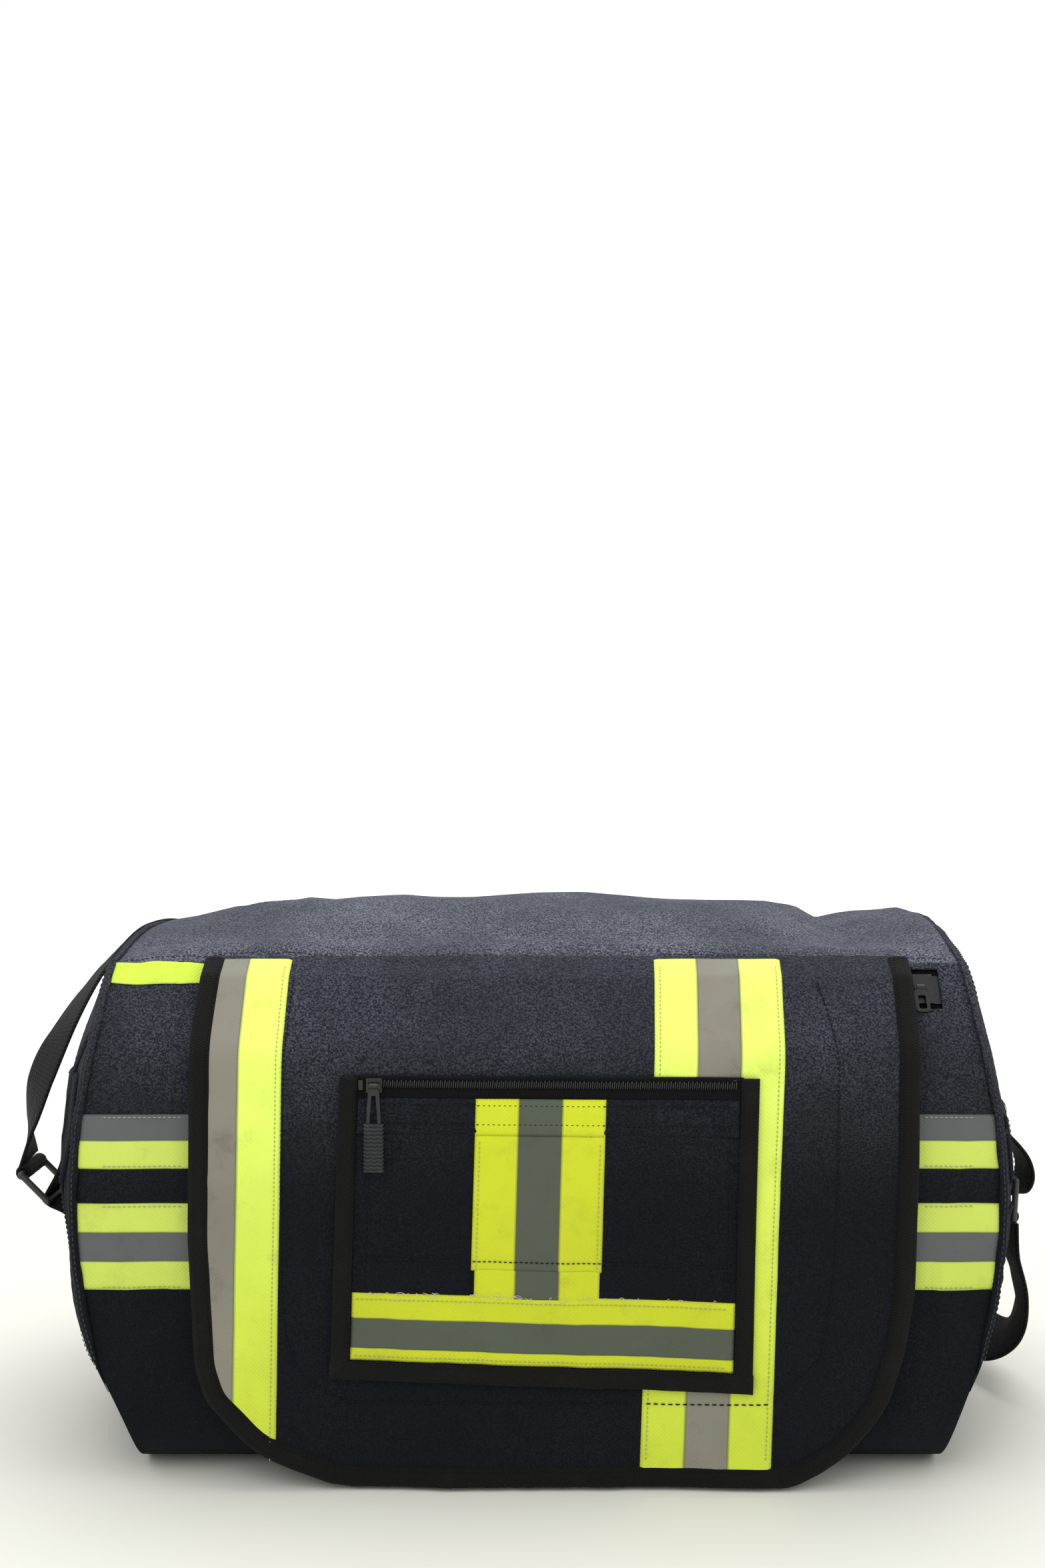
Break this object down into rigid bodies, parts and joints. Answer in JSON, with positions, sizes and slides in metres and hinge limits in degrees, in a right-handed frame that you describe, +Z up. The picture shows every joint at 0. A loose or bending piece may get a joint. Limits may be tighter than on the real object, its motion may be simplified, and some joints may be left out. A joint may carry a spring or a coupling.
{
  "type": "duffel bag",
  "caption": "Barrel-shaped holdall of turnout-coat cloth with reflective trims, a hanging front flap with a zipped pocket, a main zip under it and a webbing shoulder strap.",
  "frame": {"origin": "middle of the flat base, on the surface that the bag stands on", "axes": "+X along the bag to the right as seen from the front, -Y towards the front with the flap, +Z up"},
  "size_m": [0.6597, 0.3287, 0.3386],
  "materials": {
    "body_twill": "navy twill",
    "top_twill": "heathered navy twill",
    "lining_cloth": "black lining",
    "binding_black": "black herringbone binding",
    "reflective_trim": "lime and grey reflective trim",
    "pocket_trim": "worn lime and grey trim",
    "stiffener": "matt",
    "zip_tape": "black zip tape",
    "zip_coil": "glossy black",
    "slider_metal": "black enamel",
    "webbing_black": "black ribbed webbing",
    "webbing_grey": "grey ribbed webbing",
    "ring_plastic": "dark grey moulded"
  },
  "bodies": {
    "bag": {"top_panel": "top_twill", "front_panel": "body_twill", "back_panel": "body_twill", "base_panel": "body_twill", "left_end_panel": "body_twill", "right_end_panel": "body_twill", "left_end_welt": "body_twill", "right_end_welt": "body_twill", "left_end_pocket": "body_twill", "right_end_trim": "body_twill", "base_board": "stiffener", "top_corner_trim": "reflective_trim", "front_trim_upper": "reflective_trim", "front_trim_lower": "reflective_trim", "main_zip_tapes": "zip_tape", "main_zip_coils": "zip_coil", "main_zip_stops": "zip_coil", "left_anchor": "webbing_black", "right_anchor": "webbing_black", "shoulder_strap": "webbing_black", "strap_end_loops": "webbing_black"},
    "flap": {"flap_face": "body_twill", "flap_lining": "lining_cloth", "flap_binding": "binding_black", "flap_trim_left": "reflective_trim", "flap_trim_right": "reflective_trim", "pocket_panel": "body_twill", "pocket_binding": "binding_black", "pocket_low_trim": "pocket_trim", "pocket_facing": "body_twill", "pocket_upright_trim": "pocket_trim", "pocket_cloth_left": "body_twill", "pocket_cloth_right": "body_twill", "pocket_top_strip": "body_twill", "pocket_strip_trim": "pocket_trim", "pocket_zip_tapes": "zip_tape", "pocket_zip_coil": "zip_coil", "pocket_zip_stops": "zip_coil"},
    "main_slider": {"main_slider": "slider_metal"},
    "main_puller": {"main_puller": "slider_metal"},
    "pocket_slider": {"pocket_slider": "slider_metal"},
    "pocket_puller": {"pocket_puller": "slider_metal", "pocket_puller_tab": "webbing_grey"},
    "left_ring": {"left_ring": "ring_plastic"},
    "right_ring": {"right_ring": "ring_plastic"}
  },
  "joints": [
    {"name": "flap_swing", "type": "hinge", "parent": "bag", "child": "flap", "pos_m": [0.009, -0.11158, 0.30139], "axis": [-1, 0, 0], "range_deg": [0, 170]},
    {"name": "main_zip_travel", "type": "slide", "parent": "bag", "child": "main_slider", "axis": [-1, 0, 0], "range_m": [0, 0.41]},
    {"name": "main_puller_swing", "type": "hinge", "parent": "main_slider", "child": "main_puller", "pos_m": [0.227, -0.12056, 0.28554], "axis": [-1, 0, 0], "range_deg": [0, 150]},
    {"name": "pocket_zip_travel", "type": "slide", "parent": "flap", "child": "pocket_slider", "axis": [1, 0, 0], "range_m": [0, 0.2]},
    {"name": "pocket_puller_swing", "type": "hinge", "parent": "pocket_slider", "child": "pocket_puller", "pos_m": [-0.094, -0.15792, 0.2336], "axis": [-1, 0, 0], "range_deg": [0, 160]},
    {"name": "left_ring_swing", "type": "hinge", "parent": "bag", "child": "left_ring", "pos_m": [-0.313, -0.02, 0.139], "axis": [0, 1, 0], "range_deg": [0, 30], "deforming": ["shoulder_strap", "strap_end_loops"]},
    {"name": "right_ring_swing", "type": "hinge", "parent": "bag", "child": "right_ring", "pos_m": [0.307, -0.02, 0.152], "axis": [0, -1, 0], "range_deg": [0, 60], "deforming": ["shoulder_strap", "strap_end_loops"]}
  ]
}
